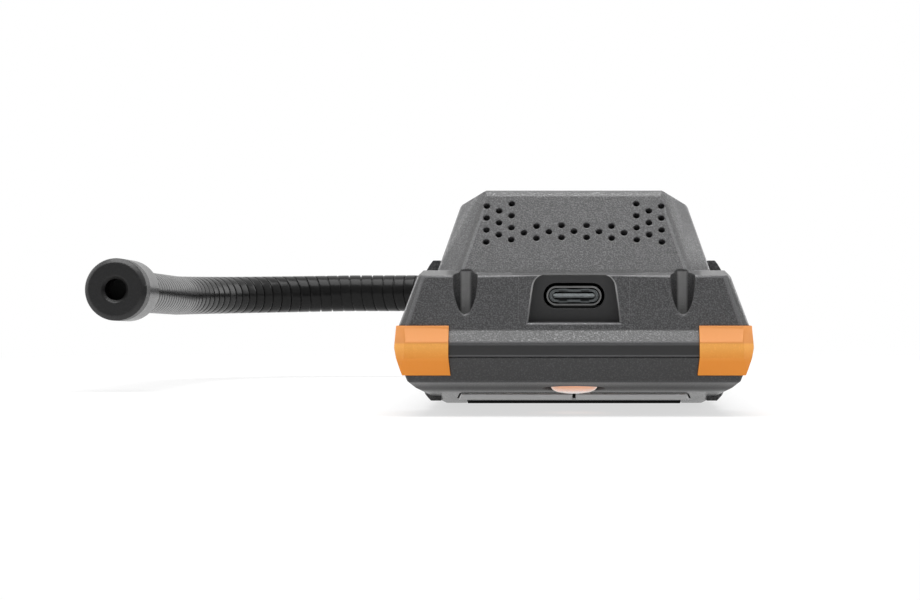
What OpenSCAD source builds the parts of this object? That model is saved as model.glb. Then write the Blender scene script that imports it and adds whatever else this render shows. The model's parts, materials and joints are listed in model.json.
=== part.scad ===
// Handheld refrigerant leak detector lying on its face with the back up:
// faceted two-part housing, hump with sounder holes, charging port in the butt
// and a wound gooseneck that carries the sensor head back beside the body.
// Y runs from the butt to the head, Z from the face rails up to the back.

/* [Housing] */
// Housing length from butt to head
body_len = 160; // [155:1:171]
// Shell width at the butt and the head
body_w = 57.2; // [54:0.2:59.4]
// Shell width at the waist between the grips
waist_w = 51.3; // [49.5:0.1:52]
// Wall of both shells
wall = 1.8; // [1.5:0.1:2]
// Height of the parting line above the face rails
parting_z = 9.2; // [9:0.1:9.7]
// Height of the back plane above the face rails
back_z = 23.3; // [22.9:0.1:24.7]
// Chamfer of the upright corners at the butt
corner = 1.45; // [1.3:0.05:2]
// Depth of the tongue that closes the parting line
lip_h = 1.4; // [0.9:0.1:1.8]
// Play between tongue and groove
lip_gap = 0.1; // [0.05:0.05:0.2]

/* [Butt] */
// Height of the upright band across the butt
band_h = 2.35; // [1.8:0.05:2.9]
// Set-back of the foot of the leaning end face
face_foot_y = 1.55; // [1.3:0.05:2]
// Set-back of the top of the leaning end face
face_top_y = 4.4; // [4:0.1:4.9]
// Set-back of the lower butt edge
low_y = 1.55; // [1.1:0.05:2]
// Height of the lower butt edge
low_z = 5.15; // [4.7:0.05:5.6]
// Drop of the sloped key field per mm of length
slope_k = 0.106; // [0.1:0.002:0.112]

/* [Hump] */
// Width of the hump at its foot
hump_w = 45.2; // [43:0.1:46.2]
// Width of the flat on top of the hump
hump_top_w = 29.2; // [27:0.2:30.6]
// Set-back of the hump's foot from the butt
hump_foot_y = 5.75; // [5.6:0.05:6.3]
// Lean of the hump's front per mm of height
hump_lean = 0.62; // [0.58:0.01:0.66]
// Where the hump starts to fall to the spine
tail_y = 97; // [95:1:103]
// Height of the spine that carries the gooseneck
spine_z = 27.9; // [27.5:0.1:29.7]
// Width of the spine
spine_w = 23.4; // [22.5:0.1:27]

/* [Sounder holes] */
// Hole diameter
hole_d = 1.1; // [0.8:0.1:1.3]
// Spacing across
hole_px = 2.06; // [1.98:0.01:2.12]
// Spacing up the slope
hole_py = 2.36; // [2.16:0.02:2.44]
// Lowest row above the hump's foot along the slope
hole_low = 7.05; // [6.7:0.05:7.6]

/* [Bumpers and grips] */
// Bumper width on the butt
bumper_w = 8.8; // [7.2:0.1:9]
// Bumper length along the side
bumper_len = 20.7; // [16:0.1:21.5]
// Bumper height
bumper_h = 8; // [7.2:0.1:8.5]
// How far the bumpers stand proud
bumper_proud = 0.4; // [0.2:0.05:0.55]
// Depth of the bumper seat
bumper_seat = 1.1; // [0.7:0.1:1.3]
// Grip thickness outside the waist
grip_t = 1.7; // [1.3:0.1:2]
// Depth of the grip grooves
groove_d = 0.55; // [0.3:0.05:0.7]
// Spacing of the grip grooves
groove_p = 5.5; // [4.5:0.5:7]
// Grip height over the back plane
grip_up = 2; // [1.1:0.1:2.2]

/* [Face] */
// Display lens width
lens_w = 37.8; // [34:0.1:38.5]
// Display lens length
lens_l = 55.8; // [50:0.1:58]
// Display lens thickness
lens_t = 1.1; // [0.9:0.1:1.3]
// How far the lens lies under the rails
lens_sunk = 0.1; // [0.05:0.05:0.2]
// Border of the lens round the view
lens_border = 3.2; // [2.5:0.1:4.5]
// Gap round the lens
lens_gap = 0.15; // [0.1:0.05:0.3]
// Power button diameter
button_d = 7.7; // [7.2:0.1:8.1]
// Button height over the key field
button_up = 0.75; // [0.45:0.05:0.9]
// Dish diameter round the power button
dish_d = 10.5; // [9.9:0.1:11.2]
// Dish depth
dish_t = 0.65; // [0.4:0.05:0.85]
// Power button place from the butt
button_y = 15.3; // [14.5:0.1:16]
// Half width of the key pair at its near end
key_near = 19.3; // [18.4:0.1:19.6]
// Half width of the key pair at its far end
key_far = 20.3; // [19.7:0.1:20.5]
// Key length
key_l = 12.6; // [11:0.1:13.5]
// Middle of the keys from the butt
key_y = 31.5; // [31:0.5:32.5]
// Height of the keys over the key field
key_up = 0.3; // [0.2:0.05:0.45]
// Travel of the keys and the button
key_travel = 0.5; // [0.3:0.05:0.6]
// Gap round the keys and the button
key_gap = 0.25; // [0.2:0.05:0.35]

/* [Charging port] */
// Port centre below the back plane
usb_drop = 4.15; // [4:0.05:4.3]
// Port shell width
usb_w = 8.94; // [8.9:0.02:9.1]
// Port shell height
usb_h = 3.16; // [3.1:0.02:3.2]
// Port shell length
usb_l = 7.3; // [6.8:0.1:8]
// Port sheet thickness
usb_t = 0.3; // [0.25:0.05:0.35]
// Gap round the port in its opening
usb_gap = 0.5; // [0.3:0.05:0.6]
// Pocket floor set-back
pocket_y = 4.85; // [4.7:0.05:5.2]
// Pocket width at its foot
pocket_w = 14.7; // [14.4:0.1:16.2]
// Pocket width at its top
pocket_top_w = 12.8; // [12.2:0.2:13.6]
// Pocket height
pocket_h = 7.75; // [7.4:0.05:7.9]
// Pocket corner radius
pocket_r = 2; // [1.4:0.1:2.3]

/* [Screws] */
// Screw place from the middle
screw_x = 17.65; // [17.1:0.05:18]
// Screw place from the butt
screw_y = 4.4; // [4.2:0.1:5]
// Screw place from the head
screw_head_y = 11.7; // [11:0.1:13.5]
// Screw well diameter
well_d = 4; // [3.8:0.1:4.1]
// Screw head diameter
screw_head_d = 3.5; // [3.2:0.1:3.7]
// Screw shank diameter
screw_d = 2.2; // [2:0.1:2.3]
// Play of the shanks in their holes
screw_gap = 0.04; // [0.02:0.01:0.08]
// Wall round wells and shanks
boss_wall = 1.35; // [1.2:0.05:1.5]

/* [Boards and battery] */
// Board thickness
board_t = 1.6; // [1.2:0.1:1.6]
// Display board height over the face rails
display_board_z = 8.65; // [8.5:0.05:9]
// Display board width
display_board_w = 39.5; // [38:0.5:41.5]
// Power board width
power_board_w = 43.2; // [41.5:0.1:44]
// Display module thickness
module_t = 4.8; // [3.6:0.1:5.4]
// Battery diameter
cell_d = 16.7; // [16.2:0.1:16.9]
// Battery length
cell_l = 58.5; // [54:0.5:59.5]
// Diameter of the raised pole of the battery
nub_d = 5.4; // [5:0.1:6]
// Height of the raised pole
nub_h = 1; // [0.8:0.1:1.2]
// Holder wall beside the battery
holder_t = 1.4; // [1.2:0.1:1.6]
// Holder wall past the battery ends
holder_end = 2; // [1.8:0.1:2.4]
// Holder height over the power board
holder_h = 7.2; // [6:0.1:7.6]
// Battery contact width
contact_w = 7.2; // [6:0.1:8]
// Battery contact height
contact_h = 8; // [7:0.1:9]
// Battery contact thickness
contact_t = 0.5; // [0.4:0.05:0.6]
// Board header width
header_w = 18; // [16:0.5:20]
// Board header length
header_l = 4.6; // [4:0.1:5]
// Gap round the battery
cell_gap = 0.3; // [0.25:0.05:0.4]
// Sounder diameter
sounder_d = 10.8; // [8:0.1:11.8]
// Sounder height
sounder_h = 4.5; // [3.5:0.5:5.5]

/* [Gooseneck] */
// Gooseneck diameter over the turns
neck_d = 8.75; // [8.1:0.05:9]
// Diameter between the turns
core_d = 8; // [7.2:0.1:8.2]
// Way for the sensor lead inside
lead_d = 4.2; // [3.6:0.1:4.9]
// Spacing of the turns
turn_p = 2.8; // [2.5:0.05:3.05]
// Groove between the turns
turn_gap = 0.3; // [0.2:0.05:0.45]
// First bend radius
bend_1_r = 54; // [50:1:59]
// Second bend radius
bend_2_r = 33.3; // [32:0.1:40]
// Second bend angle
bend_2_a = 63; // [59:1:66]
// Third bend radius
bend_3_r = 63; // [45:1:65]
// Third bend angle
bend_3_a = 25; // [21:1:28]
// Straight end before the sensor head
neck_end = 53; // [30.5:0.5:54]
// Height of the gooseneck over the face rails
neck_z = 20.1; // [19.4:0.1:20.3]
// Lean of the gooseneck past its first bend, in degrees downward
neck_droop = 1; // [0:0.1:1.5]
// Lean of the straight end, in degrees upward
tip_rise = 1; // [0:0.1:1.5]
// Nut thickness inside the head wall
nut_t = 3.6; // [3:0.1:4]
// Ferrule length outside the head
ferrule_l = 7.6; // [6.5:0.1:11]
// Bush diameter through the head wall
bush_d = 9; // [8.6:0.1:9.4]
// Bush flange thickness
flange_t = 2.3; // [1.8:0.1:3.6]
// Play of the bush in the head wall
bush_gap = 0.1; // [0.05:0.05:0.2]

/* [Sensor head] */
// Sensor head diameter
head_d = 12.7; // [12.6:0.1:13.9]
// Barrel length
barrel_l = 10.1; // [9.7:0.1:12.6]
// Cap length outside the barrel
cap_l = 4.5; // [3.6:0.1:5.4]
// Barrel wall
barrel_wall = 1.45; // [1.1:0.05:1.6]
// Inlet bore diameter
inlet_d = 4.4; // [3.6:0.1:4.9]
// Sensor can diameter
can_d = 8.3; // [7.2:0.1:8.5]
// Sensor can height
can_h = 3.2; // [2.7:0.1:3.4]

/* [Hidden] */
$fn = 48;
big = 400;
datum_y = body_len - 34;
hw = body_w / 2;
waist = waist_w / 2;
usb_z = back_z - usb_drop;
power_z = usb_z - usb_h / 2 - board_t;
cell_z = power_z + board_t + cell_gap + cell_d / 2;
hump_z = cell_z + cell_d / 2 + cell_gap + wall;
foot_z = back_z - 0.55;
sunk_z = parting_z + 4.25;
crest_y = hump_foot_y + hump_lean * (hump_z - 1 - foot_z);
hump_a = atan2(hump_z - 1 - foot_z, crest_y - hump_foot_y);
spine_y = tail_y + 29;
slope_a = atan(slope_k);
fold_y = low_y + low_z / slope_k;
lens_y = fold_y - 4.5;
lens_top = lens_sunk + lens_t;
face_foot_z = parting_z + band_h + 2;
corner_k = 0.448;
corner_u = (hw + 5.7) / sqrt(2);
lip_in = max(wall / 2, bumper_seat);
bumper_x = hw + bumper_proud - bumper_w;
bumper_z = parting_z + 5.1 - bumper_h;
grip_y0 = 34;
grip_y1 = body_len - 50;
boss_r = well_d / 2 + boss_wall;
seat_z = parting_z + 2.7;
tip_z = parting_z - 3;
screws = [[-screw_x, screw_y], [screw_x, screw_y],
    [-screw_x, body_len - screw_head_y], [screw_x, body_len - screw_head_y]];
board_y0 = screw_y + boss_r + 0.6;
board_y1 = body_len - screw_head_y - boss_r - 3.6;
post_x = display_board_w / 2 - 2.2;
posts = [[-post_x, board_y0 + 3], [post_x, board_y0 + 3], [-post_x, board_y1 - 3], [post_x, board_y1 - 3]];
switch_t = 1.2;
plunger_t = 0.4;
switch_z = display_board_z - switch_t - plunger_t;
cell_y = 36;
neck_y = body_len + flange_t + ferrule_l;
stub_l = ferrule_l - 1;
stub_in = 0.12;
nut_r = bush_d / 2 + 1.4;
flange_r = bush_d / 2 + 2;
cap_top = barrel_l + cap_l;
inner_r = head_d / 2 - barrel_wall;
rear_t = 2.4;
sensor_board_t = 1;
filter_t = 0.8;

hole_counts = [1, 2, 1, 2, 1, 4, 3, 4];

// Outline moved inward by d, points counter-clockwise
function side_of(a, b) = [b.y - a.y, a.x - b.x] / norm(b - a);
function inset(p, d) = let (n = len(p)) [for (i = [0 : n - 1])
    let (u = side_of(p[(i + n - 1) % n], p[i]), v = side_of(p[i], p[(i + 1) % n]))
    p[i] - d * (u + v) / (1 + u * v)];
function both(h) = concat(h, [for (i = [len(h) - 1 : -1 : 0]) [-h[i].x, h[i].y]]);
function slope_z(y) = low_z - slope_k * (y - low_y);

tub_side = [[low_y, low_z], [fold_y, 0], [body_len - 5.4, 0], [body_len, 5.4], [body_len, back_z - 4.5],
    [body_len - 4.5, back_z], [face_top_y + 2.8, back_z], [face_top_y, back_z - 0.9],
    [face_foot_y, face_foot_z], [0, parting_z + band_h], [0, parting_z]];
tub_section = both([[hw - 5.6, 0], [hw - 2.2, 3.9], [hw - 0.3, parting_z], [hw, parting_z + 1.55],
    [hw - 0.2, parting_z + 5.1], [hw - 3.05, back_z - 1.15], [hw - 4.05, back_z]]);
tub_corner = [[-big, -20], [corner_u + 20 * corner_k, -20],
    [corner_u - corner_k * (back_z + 20), back_z + 20],
    [-big, back_z + 20]];
tub_plan = both([[hw - corner, 0], [hw, corner], [hw, bumper_len + 1], [waist, grip_y0 - 1.8],
    [waist, grip_y1 + 1.8], [hw, grip_y1 + 11], [hw, body_len - 9], [hw - 8, body_len]]);
hump_side = [[hump_foot_y, sunk_z], [body_len, sunk_z], [body_len, spine_z - 1.8],
    [body_len - 1.8, spine_z],
    [spine_y, spine_z], [tail_y, hump_z], [crest_y + 1.9, hump_z], [crest_y + 0.85, hump_z - 0.33],
    [crest_y, hump_z - 1], [hump_foot_y, foot_z]];
hump_section = both([[hump_w / 2, sunk_z], [hump_w / 2, foot_z], [hump_w / 2 - 3.7, hump_z - 2.5],
    [hump_top_w / 2, hump_z]]);
hump_plan = both([[hump_w / 2 + 3.6, 0], [hump_w / 2 + 3.6, tail_y], [spine_w / 2, spine_y],
    [spine_w / 2, body_len]]);
hump_corner = [[-big, sunk_z], [8.65 + 0.666 * (back_z - sunk_z), sunk_z],
    [8.65 - 0.666 * (hump_z - back_z), hump_z], [-big, hump_z]];
grip_section = [[hw - 5.6, 1], [hw - 3.8, 1], [hw - 2.85, 2.05], [hw - 2.2, 3.4],
    [waist + grip_t, parting_z],
    [waist + grip_t, parting_z + 3.3], [hw - 2.3, back_z - 1], [hw - 3.65, back_z + grip_up - 0.7],
    [hw - 4.2, back_z + grip_up], [hump_w / 2 + 0.65, back_z + grip_up]];
grip_plan = [[0, grip_y0], [waist + grip_t - 1.8, grip_y0], [waist + grip_t + 1.8, grip_y0 + 4.5],
    [waist + grip_t + 1.8, grip_y1 - 4.5], [waist + grip_t - 1.8, grip_y1], [0, grip_y1]];

module at_datum() translate([0, -datum_y, 0]) children();
module on_slope(y) translate([0, y, slope_z(y)]) rotate([-slope_a, 0, 0]) children();
module on_hump(s) translate([0, hump_foot_y, foot_z]) rotate([hump_a, 0, 0]) translate([0, s, 0]) children();
module side_prism(p) rotate([90, 0, 90]) translate([0, 0, -big / 2]) linear_extrude(big) polygon(p);
module section_prism(p, y0 = -big / 2, y1 = big) rotate([90, 0, 0]) translate([0, 0, -y1])
    linear_extrude(y1 - y0) polygon(p);
module plan_prism(p, z0 = -big / 2, z1 = big / 2) translate([0, 0, z0]) linear_extrude(z1 - z0) polygon(p);
module above(z) translate([-big / 2, -big / 2, z]) cube([big, big * 2, big]);
module below(z) translate([-big / 2, -big / 2, z - big]) cube([big, big * 2, big]);
module turned(p) rotate([-90, 0, 0]) rotate_extrude() polygon(p);
module slot_y(w, h, l) {
    for (s = [-1, 1]) translate([s * (w - h) / 2, 0, 0]) rotate([-90, 0, 0]) cylinder(d = h, h = l);
    translate([(h - w) / 2, 0, -h / 2]) cube([w - h, l, h]);
}

module tub(d) intersection() {
    side_prism(inset(tub_side, d));
    section_prism(inset(tub_section, d));
    plan_prism(inset(tub_plan, d));
    rotate([0, 0, -45]) section_prism(inset(tub_corner, d));
    mirror([1, 0, 0]) rotate([0, 0, -45]) section_prism(inset(tub_corner, d));
}
module hump(d) intersection() {
    side_prism(inset(hump_side, d));
    section_prism(inset(hump_section, d));
    plan_prism(inset(hump_plan, d));
    rotate([0, 0, -45]) section_prism(inset(hump_corner, d));
    mirror([1, 0, 0]) rotate([0, 0, -45]) section_prism(inset(hump_corner, d));
}
module bumper_block() intersection() {
    section_prism([[bumper_x, bumper_z + bumper_h], [bumper_x, parting_z], [bumper_x - 0.3, bumper_z],
        [big, bumper_z], [big, bumper_z + bumper_h]]);
    translate([-big, -big / 2, 0]) cube([2 * big, big / 2 + bumper_len, big]);
}
module bumper_zone() for (m = [0, 1]) mirror([m, 0, 0]) bumper_block();
module body() {
    difference() {
        tub(0);
        bumper_zone();
    }
    tub(bumper_seat);
    hump(0);
}
module room() {
    tub(wall);
    hump(wall);
}
module pocket_outline() {
    a = atan2((pocket_w - pocket_top_w) / 2, pocket_h);
    cz = pocket_h - pocket_r;
    cx = pocket_w / 2 - pocket_r / cos(a) - cz * tan(a);
    polygon(both(concat([[pocket_w / 2, 0]],
        [for (i = [0 : 6])
            let (t = a + i * (90 - a) / 6) [cx + pocket_r * cos(t), cz + pocket_r * sin(t)]])));
}

module back_shell() color([0.25, 0.25, 0.26]) at_datum() difference() {
    union() {
        intersection() {
            difference() {
                body();
                room();
            }
            above(parting_z);
        }
        intersection() {
            tub(bumper_seat);
            for (s = screws) translate([s.x, s.y, parting_z]) cylinder(r = boss_r, h = back_z - parting_z);
        }
        intersection() {
            tub(bumper_seat);
            translate([-pocket_w / 2 - wall, 0, usb_z - pocket_h / 2 - wall])
                cube([pocket_w + 2 * wall, pocket_y + wall, pocket_h + 2 * wall]);
        }
        intersection() {
            tub(wall - 0.4);
            for (m = [0, 1]) mirror([m, 0, 0]) translate([power_board_w / 2 - 1.4, board_y0, power_z - wall])
                cube([big, board_y1 - board_y0, wall]);
        }
    }
    // groove for the tongue of the front shell
    intersection() {
        tub(lip_in);
        translate([0, 0, parting_z + lip_h + lip_gap]) below(0);
        difference() {
            above(0);
            for (s = screws) translate([s.x, s.y, 0]) cylinder(r = boss_r + 0.01, h = big);
        }
    }
    for (s = screws) translate([s.x, s.y, 0]) {
        translate([0, 0, seat_z]) cylinder(d = well_d, h = back_z - seat_z + 0.1);
        cylinder(d = screw_d + 2 * screw_gap, h = big);
    }
    translate([0, pocket_y - big, usb_z - pocket_h / 2 - 0.45]) rotate([90, 0, 0]) translate([0, 0, -big])
        linear_extrude(big) pocket_outline();
    translate([0, 0, usb_z]) slot_y(usb_w + 2 * usb_gap, usb_h + 2 * usb_gap, pocket_y + wall + 1);
    for (k = [0 : 7], m = [-1, 1], r = [0 : hole_counts[k] - 1]) if (k > 0 || m > 0)
        on_hump(hole_low + (r + (k % 2 == 0 ? 0.5 : 0)) * hole_py - 0.019 * k * k)
            translate([m * k * hole_px, 0, -2 * wall]) cylinder(d = hole_d, h = 4 * wall, $fn = 24);
    translate([0, body_len - 2 * wall, neck_z]) rotate([-90, 0, 0])
        cylinder(d = bush_d + 2 * bush_gap, h = 4 * wall);
}

module key_outline(d) polygon(inset([[key_gap / 2, -key_l / 2], [key_near, -key_l / 2],
    [key_far, key_l / 2], [key_gap / 2, key_l / 2]], d));

module front_shell() color([0.25, 0.25, 0.26]) at_datum() difference() {
    union() {
        intersection() {
            difference() {
                body();
                tub(wall);
            }
            below(parting_z);
        }
        intersection() {
            difference() {
                tub(lip_in + lip_gap);
                tub(wall);
                for (s = screws) translate([s.x, s.y, 0]) cylinder(r = boss_r + lip_gap, h = big);
            }
            above(parting_z - 1);
            below(parting_z + lip_h);
        }
        intersection() {
            tub(bumper_seat);
            for (s = screws) translate([s.x, s.y, 0]) cylinder(r = boss_r, h = parting_z);
        }
        intersection() {
            tub(wall / 2);
            for (p = posts) translate([p.x, p.y, 0]) cylinder(d = 4, h = display_board_z);
        }
    }
    for (s = screws) translate([s.x, s.y, tip_z - 0.4]) cylinder(d = screw_d + 2 * screw_gap, h = big);
    for (p = posts) translate([p.x, p.y, display_board_z - 2.2]) cylinder(d = 1.6 + 2 * screw_gap, h = big);
    translate([-lens_w / 2 - lens_gap, lens_y, -big + lens_top])
        cube([lens_w + 2 * lens_gap, lens_l + lens_gap, big]);
    translate([-lens_w / 2 + lens_border, lens_y + lens_border, -1])
        cube([lens_w - 2 * lens_border, lens_l - 2 * lens_border, wall + 2]);
    on_slope(button_y) {
        translate([0, 0, -2]) cylinder(d = dish_d, h = 2 + dish_t);
        translate([0, 0, -2]) cylinder(d = button_d + 2 * key_gap, h = wall + 4);
    }
    on_slope(key_y) for (m = [0, 1]) mirror([m, 0, 0]) translate([0, 0, -2]) linear_extrude(wall + 4)
        key_outline(-key_gap / 2);
}

module bumper() intersection() {
    difference() {
        tub(-bumper_proud);
        tub(bumper_seat);
    }
    bumper_block();
}
module bumper_right() color([0.92, 0.56, 0.2]) at_datum() bumper();
module bumper_left() color([0.92, 0.56, 0.2]) at_datum() mirror([1, 0, 0]) bumper();

module grip() difference() {
    union() {
        difference() {
            intersection() {
                section_prism(grip_section);
                plan_prism(grip_plan);
            }
            for (y = [grip_y0 + 8 : groove_p : grip_y1 - 8]) translate([waist - 6, y - 0.9, 3])
                cube([big, 1.8, back_z - 4]);
        }
        intersection() {
            section_prism(inset(grip_section, groove_d));
            plan_prism(inset(grip_plan, groove_d));
        }
    }
    tub(0);
}
module grip_right() color([0.12, 0.12, 0.12]) at_datum() grip();
module grip_left() color([0.12, 0.12, 0.12]) at_datum() mirror([1, 0, 0]) grip();

module display_lens() color([0.04, 0.04, 0.05]) at_datum()
    translate([-lens_w / 2, lens_y, lens_sunk]) cube([lens_w, lens_l, lens_t]);

module display_module() color([0.45, 0.5, 0.46]) at_datum()
    translate([-lens_w / 2 + 1, fold_y, wall]) cube([lens_w - 2, lens_y + lens_l - 1 - fold_y, module_t]);

module display_board() color([0.1, 0.32, 0.16]) at_datum() difference() {
    translate([-display_board_w / 2, board_y0, display_board_z])
        cube([display_board_w, board_y1 - board_y0, board_t]);
    for (p = posts) translate([p.x, p.y, 0]) cylinder(d = 1.6 + 2 * screw_gap, h = big);
}

module key_switches() color([0.3, 0.3, 0.32]) at_datum()
    for (p = [[0, button_y], [-key_far / 2, key_y], [key_far / 2, key_y]]) translate([p.x, p.y, switch_z]) {
        translate([-3, -3, plunger_t]) cube([6, 6, switch_t]);
        cylinder(d = 3, h = plunger_t + 0.2);
    }

module board_screws() color([0.7, 0.7, 0.72]) at_datum()
    for (p = posts) translate([p.x, p.y, display_board_z + board_t]) {
        cylinder(d = 3.2, h = 1);
        translate([0, 0, -board_t - 2]) cylinder(d = 1.6, h = board_t + 2.5);
    }

function stem_top(y) = (switch_z - slope_z(y)) * cos(slope_a) - key_travel - 0.35;

module power_button() color([0.95, 0.5, 0.2]) at_datum() on_slope(button_y) rotate_extrude()
    polygon([[0, -button_up], [button_d * 0.2, -button_up * 0.94], [button_d * 0.35, -button_up * 0.72],
        [button_d * 0.45, -button_up * 0.3], [button_d / 2, button_up * 0.3], [button_d / 2, wall + 0.1],
        [button_d / 2 + 1, wall + 0.1], [button_d / 2 + 1, wall + 0.7], [1.5, wall + 0.7],
        [1.5, stem_top(button_y)], [0, stem_top(button_y)]]);

module key() on_slope(key_y) {
    translate([0, 0, -key_up]) linear_extrude(key_up + wall + 0.15) key_outline(key_gap / 2);
    translate([0, 0, wall + 0.1]) linear_extrude(0.7) polygon([[key_gap, -key_l / 2 - 0.8],
        [key_near + 0.7, -key_l / 2 - 0.8], [key_far + 0.7, key_l / 2 + 0.8], [key_gap, key_l / 2 + 0.8]]);
    translate([key_far / 2, 0, wall + 0.5]) cylinder(d = 3.4, h = stem_top(key_y) - wall - 0.5);
}
module key_right() color([0.2, 0.2, 0.21]) at_datum() key();
module key_left() color([0.2, 0.2, 0.21]) at_datum() mirror([1, 0, 0]) key();

module power_board() color([0.1, 0.32, 0.16]) at_datum()
    translate([-power_board_w / 2, board_y0, power_z]) cube([power_board_w, board_y1 - board_y0, board_t]);

module usb_shell() color([0.72, 0.72, 0.74]) at_datum() translate([0, pocket_y + 0.8, usb_z]) difference() {
    slot_y(usb_w, usb_h, usb_l);
    translate([0, -1, 0]) slot_y(usb_w - 2 * usb_t, usb_h - 2 * usb_t, usb_l + 2);
}

// tongue, its foot, and the liner with four spring windows
module usb_tongue() color([0.08, 0.08, 0.08]) at_datum() translate([0, pocket_y + 0.8, usb_z]) {
    translate([0, usb_l - 2, 0]) slot_y(usb_w - 2 * usb_t, usb_h - 2 * usb_t, 2);
    translate([-3.35, 0.9, -0.35]) cube([6.7, usb_l - 2.5, 0.7]);
    translate([0, 0.5, 0]) difference() {
        union() {
            slot_y(usb_w - 2 * usb_t - 0.3, usb_h - 2 * usb_t - 0.5, usb_l - 1.5);
            for (x = [-1.8, 1.8]) translate([x - 0.7, 0, 0.15 - usb_h / 2 + usb_t])
                cube([1.4, 1.5, usb_h - 2 * usb_t - 0.3]);
        }
        translate([0, -1, 0]) slot_y(usb_w - 2 * usb_t - 1.3, 1.3, usb_l);
        for (x = [-1.8, 1.8]) translate([x - 0.7, -1, -0.9]) cube([1.4, 2.5, 1.8]);
    }
}

module board_header() color([0.08, 0.08, 0.08]) at_datum()
    translate([-header_w / 2, board_y1 - header_l - 6, display_board_z + board_t])
        cube([header_w, header_l, power_z - display_board_z - board_t]);

module battery_cell() color([0.25, 0.45, 0.6]) at_datum() translate([0, cell_y, cell_z]) {
    rotate([-90, 0, 0]) cylinder(d = cell_d, h = cell_l - nub_h);
    translate([0, cell_l - nub_h - 0.5, 0]) rotate([-90, 0, 0]) cylinder(d = nub_d, h = nub_h + 0.5);
}

module battery_holder() color([0.1, 0.1, 0.1]) at_datum() difference() {
    translate([-cell_d / 2 - holder_t, cell_y - holder_end, power_z + board_t])
        cube([cell_d + 2 * holder_t, cell_l + 2 * holder_end, holder_h]);
    translate([0, cell_y - contact_t - 0.1, cell_z]) rotate([-90, 0, 0])
        cylinder(r = cell_d / 2 + cell_gap / 2, h = cell_l + 2 * contact_t + 0.2);
    translate([-cell_d / 4, cell_y + 2, 0]) cube([cell_d / 2, cell_l - 4, cell_z]);
}

module battery_contacts() color([0.75, 0.72, 0.6]) at_datum()
    for (y = [cell_y - contact_t - 0.1, cell_y + cell_l + 0.1])
        translate([-contact_w / 2, y, cell_z - contact_h / 2]) cube([contact_w, contact_t, contact_h]);

module sounder() color([0.06, 0.06, 0.06]) at_datum() on_hump(hole_low + hole_py / 2)
    translate([0, 0, -wall - sounder_h]) difference() {
        cylinder(d = sounder_d, h = sounder_h);
        translate([0, 0, sounder_h - 1]) cylinder(d = 3, h = 2);
    }

module case_screws() color([0.6, 0.6, 0.62]) at_datum() for (s = screws) translate([s.x, s.y, 0])
    difference() {
        union() {
            translate([0, 0, tip_z]) cylinder(d = screw_d, h = seat_z - tip_z + 0.5);
            translate([0, 0, seat_z]) cylinder(d = screw_head_d, h = 1.7);
        }
        for (a = [0, 90]) rotate([0, 0, a]) translate([-1.2, -0.3, seat_z + 0.8]) cube([2.4, 0.6, 2]);
    }

module neck_bush() color([0.16, 0.16, 0.16]) at_datum() translate([0, body_len, neck_z])
    turned([[lead_d / 2, -wall - nut_t - 1.5], [bush_d / 2, -wall - nut_t - 1.5], [bush_d / 2, 0],
    [flange_r, 0],
        [flange_r, flange_t - 0.6], [flange_r - 0.6, flange_t], [lead_d / 2, flange_t]]);

module neck_nut() color([0.6, 0.6, 0.62]) at_datum() translate([0, body_len - wall - nut_t, neck_z])
    rotate([-90, 0, 0]) difference() {
        cylinder(r = nut_r, h = nut_t, $fn = 6);
        translate([0, 0, -1]) cylinder(d = bush_d, h = nut_t + 2);
    }

module neck_ferrule() color([0.14, 0.14, 0.14]) at_datum() translate([0, body_len + flange_t, neck_z])
    turned([[core_d / 2, 0], [neck_d / 2 + 1.3, 0], [neck_d / 2 + 1.3, ferrule_l - 1.8],
        [neck_d / 2 + 0.6, ferrule_l], [core_d / 2, ferrule_l]]);

// Gooseneck pieces start at the origin, head for +Y and turn to the left
module past_bend(r, a) translate([-r, 0, 0]) rotate([0, 0, a]) translate([r, 0, 0]) children();
module ring(d, bore) difference() {
    circle(d = d);
    circle(d = bore);
}
module neck_bend(r, a, open = 0) translate([-r, 0, 0]) {
    n = round(r * a * PI / 180 / turn_p);
    t = a / n;
    g = t * turn_gap / turn_p;
    rotate_extrude(angle = a - atan(open / r)) translate([r, 0]) ring(core_d, lead_d);
    for (i = [0 : n - 1]) rotate([0, 0, i * t + g / 2]) rotate_extrude(angle = t - g)
        translate([r, 0]) ring(neck_d, core_d - 0.6);
}
module neck_straight(l, tail) {
    n = round(l / turn_p);
    t = l / n;
    turned([[lead_d / 2, 0], [core_d / 2, 0], [core_d / 2, l + tail], [lead_d / 2, l + tail]]);
    for (i = [0 : n - 1]) translate([0, i * t + turn_gap / 2, 0]) turned([[core_d / 2 - 0.3, 0],
        [neck_d / 2, 0], [neck_d / 2, t - turn_gap], [core_d / 2 - 0.3, t - turn_gap]]);
}
module past_first() neck_start() past_bend(bend_1_r, 90) rotate([-neck_droop, 0, 0]) children();
module past_third() past_first() past_bend(bend_2_r, bend_2_a) past_bend(bend_3_r, bend_3_a)
    rotate([tip_rise, 0, 0]) children();
module neck_start() at_datum() translate([0, neck_y, neck_z]) children();

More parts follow.
